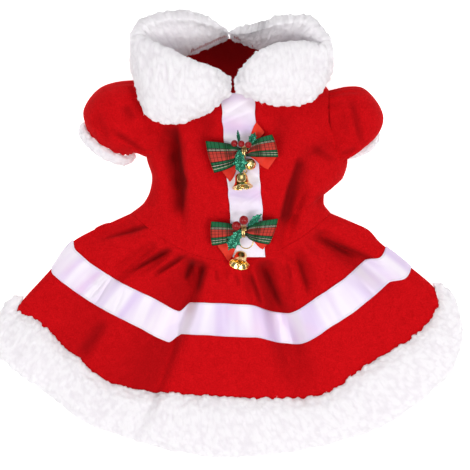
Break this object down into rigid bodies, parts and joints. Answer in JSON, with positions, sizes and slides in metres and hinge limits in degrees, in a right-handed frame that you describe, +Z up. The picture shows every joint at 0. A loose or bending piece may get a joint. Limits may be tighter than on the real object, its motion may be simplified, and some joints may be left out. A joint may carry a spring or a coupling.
{
  "type": "dog dress",
  "caption": "Red fleece dress for a small dog, laid flat: white plush collar, cuffs and hem, puff sleeves, satin ribbons, gathered skirt and plaid bows with bells.",
  "frame": {"origin": "on the floor that the dress lies on, on the flat back panel under the middle of the waist", "axes": "+Z up from the floor, out of the decorated front; +Y from the waist to the neck; +X to the right as seen from above"},
  "size_m": [0.359, 0.3393, 0.0689],
  "materials": {
    "red_fleece": "brushed red polar fleece",
    "white_plush": "curly white sherpa plush",
    "white_satin": "white satin ribbon with a lavender sheen",
    "plaid_ribbon": "woven ribbon in red and green plaid",
    "red_ribbon": "plain orange-red ribbon",
    "glitter_holly": "green glitter on plastic leaf",
    "berry_red": "glossy dark red",
    "bell_gold": "polished gold plating"
  },
  "bodies": {
    "root": {"bodice_front": "red_fleece", "bodice_back": "red_fleece", "sleeve_left": "red_fleece", "sleeve_right": "red_fleece", "skirt_front": "red_fleece", "skirt_back": "red_fleece", "cuff_left": "white_plush", "cuff_right": "white_plush", "collar_left": "white_plush", "collar_right": "white_plush", "hem_trim": "white_plush", "stripe_ribbon": "white_satin", "placket_ribbon": "white_satin", "upper_loop_left": "plaid_ribbon", "upper_loop_right": "plaid_ribbon", "lower_loop_left": "plaid_ribbon", "lower_loop_right": "plaid_ribbon", "upper_tail_left": "red_ribbon", "upper_tail_right": "red_ribbon", "upper_tail_top": "red_ribbon", "lower_tail_left": "red_ribbon", "lower_tail_right": "red_ribbon", "upper_leaf_front": "glitter_holly", "upper_leaf_back": "glitter_holly", "upper_leaf_top": "glitter_holly", "lower_leaf_front": "glitter_holly", "lower_leaf_back": "glitter_holly", "upper_berry_1": "berry_red", "upper_berry_2": "berry_red", "upper_berry_3": "berry_red", "lower_berry_1": "berry_red", "lower_berry_2": "berry_red", "upper_tie": "bell_gold", "lower_tie": "bell_gold", "upper_ring": "bell_gold", "lower_ring": "bell_gold", "upper_gold_ball": "bell_gold", "upper_bell": "bell_gold", "lower_bell": "bell_gold", "upper_clapper": "bell_gold", "lower_clapper": "bell_gold"}
  },
  "joints": []
}
